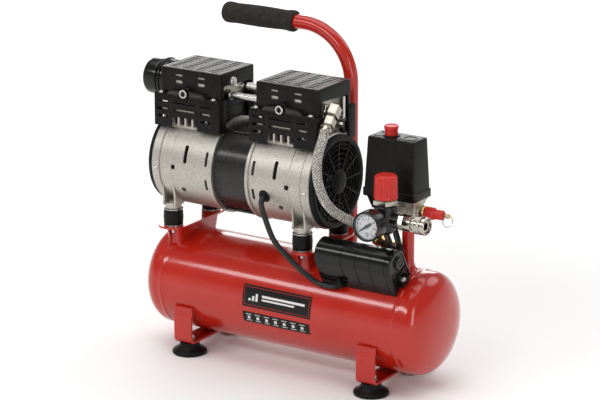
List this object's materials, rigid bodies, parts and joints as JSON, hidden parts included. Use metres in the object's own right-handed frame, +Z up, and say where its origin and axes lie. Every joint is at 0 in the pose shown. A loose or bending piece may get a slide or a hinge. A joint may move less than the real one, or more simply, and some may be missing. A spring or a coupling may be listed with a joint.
{
  "type": "portable air compressor",
  "caption": "Small oil-free air compressor: a tank on rubber feet under a shrouded piston pump, with a carrying handle, pressure switch, regulator, gauge and quick coupler.",
  "frame": {"origin": "centre of the overall box at floor level, under the soles of the rubber feet", "axes": "+X along the tank towards the pressure switch and outlet, -Y towards the operator, +Z up"},
  "size_m": [0.477, 0.199, 0.4675],
  "materials": {
    "red_paint": "gloss enamel",
    "red_plastic": "satin moulded",
    "cast_aluminium": "fine grained casting",
    "black_plastic": "satin moulded",
    "black_metal": "satin paint",
    "rubber": "moulded",
    "foam": "closed-cell foam",
    "nickel": "bright nickel plate",
    "steel_braid": "woven wire",
    "steel": "machined",
    "brass": "machined",
    "cable_jacket": "extruded jacket",
    "needle_black": "matt"
  },
  "bodies": {
    "frame": {"tank_barrel": "red_paint", "tank_end_left": "red_paint", "tank_end_right": "red_paint", "foot_bracket_left": "red_paint", "foot_bracket_right": "red_paint", "pump_saddle_left": "red_paint", "pump_saddle_right": "red_paint", "handle_tube": "red_paint", "riser_pipe": "red_paint", "safety_valve_cap": "red_plastic", "crankcase_left": "cast_aluminium", "crankcase_right": "cast_aluminium", "cylinder_left": "cast_aluminium", "cylinder_right": "cast_aluminium", "cylinder_head_left": "cast_aluminium", "cylinder_head_right": "cast_aluminium", "manifold": "cast_aluminium", "fan_grille_left": "black_plastic", "fan_grille_right": "black_plastic", "shroud_left": "black_plastic", "shroud_right": "black_plastic", "intake_filter": "black_plastic", "switch_cover": "black_plastic", "switch_base": "black_plastic", "gauge_case": "black_plastic", "capacitor_box": "black_plastic", "stator": "black_metal", "regulator_body": "black_metal", "foot_front_left": "rubber", "foot_rear_left": "rubber", "foot_front_right": "rubber", "foot_rear_right": "rubber", "mount_front_left": "rubber", "mount_rear_left": "rubber", "mount_front_right": "rubber", "mount_rear_right": "rubber", "handle_grip": "foam", "link_pipe": "nickel", "outlet_elbow": "nickel", "hose_nut_upper": "nickel", "regulator_nut": "nickel", "coupler_body": "nickel", "braided_hose": "steel_braid", "check_valve": "brass", "safety_valve_body": "brass", "motor_lead": "cable_jacket", "switch_lead_a": "cable_jacket", "switch_lead_b": "cable_jacket"},
    "rotor": {"rotor_shaft": "steel", "fan_left": "black_plastic", "fan_right": "black_plastic"},
    "left_piston": {"piston_left": "cast_aluminium"},
    "right_piston": {"piston_right": "cast_aluminium"},
    "switch_button": {"switch_knob": "red_plastic"},
    "pressure_dial": {"regulator_knob": "red_plastic"},
    "gauge_pointer": {"gauge_needle": "needle_black"},
    "coupler_collar": {"coupler_sleeve": "nickel"},
    "valve_pin": {"safety_valve_pin": "steel"},
    "pull_ring": {"safety_ring": "steel"},
    "drain_plug": {"drain_screw": "brass"}
  },
  "joints": [
    {"name": "rotor_spin", "type": "hinge", "parent": "frame", "child": "rotor", "pos_m": [-0.06713, 0.0045, 0.264], "axis": [1, 0, 0], "continuous": true},
    {"name": "left_piston_stroke", "type": "slide", "parent": "frame", "child": "left_piston", "axis": [0, 0, 1], "range_m": [-0.006, 0.006]},
    {"name": "right_piston_stroke", "type": "slide", "parent": "frame", "child": "right_piston", "axis": [0, 0, 1], "range_m": [-0.006, 0.006]},
    {"name": "switch_pull", "type": "slide", "parent": "frame", "child": "switch_button", "axis": [0, 0, 1], "range_m": [0, 0.006]},
    {"name": "pressure_turn", "type": "hinge", "parent": "frame", "child": "pressure_dial", "pos_m": [0.17228, -0.0495, 0.29], "axis": [0, 0, 1], "range_deg": [0, 1080]},
    {"name": "gauge_sweep", "type": "hinge", "parent": "frame", "child": "gauge_pointer", "pos_m": [0.17228, -0.0945, 0.2456], "axis": [0, 1, 0], "range_deg": [0, 270], "stiffness_Nm_per_rad": 0.0005, "springref_deg": -17.19},
    {"name": "coupler_release", "type": "slide", "parent": "frame", "child": "coupler_collar", "axis": [1, 0, 0], "range_m": [-0.003, 0], "stiffness_N_per_m": 600, "springref_m": 0.003},
    {"name": "valve_lift", "type": "slide", "parent": "frame", "child": "valve_pin", "axis": [1, 0, 0], "range_m": [0, 0.0025], "stiffness_N_per_m": 400, "springref_m": -0.003},
    {"name": "ring_swing", "type": "hinge", "parent": "valve_pin", "child": "pull_ring", "pos_m": [0.23408, 0.0045, 0.244], "axis": [0.5, 0.866, 0], "range_deg": [-80, 10]},
    {"name": "drain_turn", "type": "hinge", "parent": "frame", "child": "drain_plug", "pos_m": [0.10887, 0.0045, 0.014], "axis": [0, 0, 1], "range_deg": [0, 720]}
  ]
}
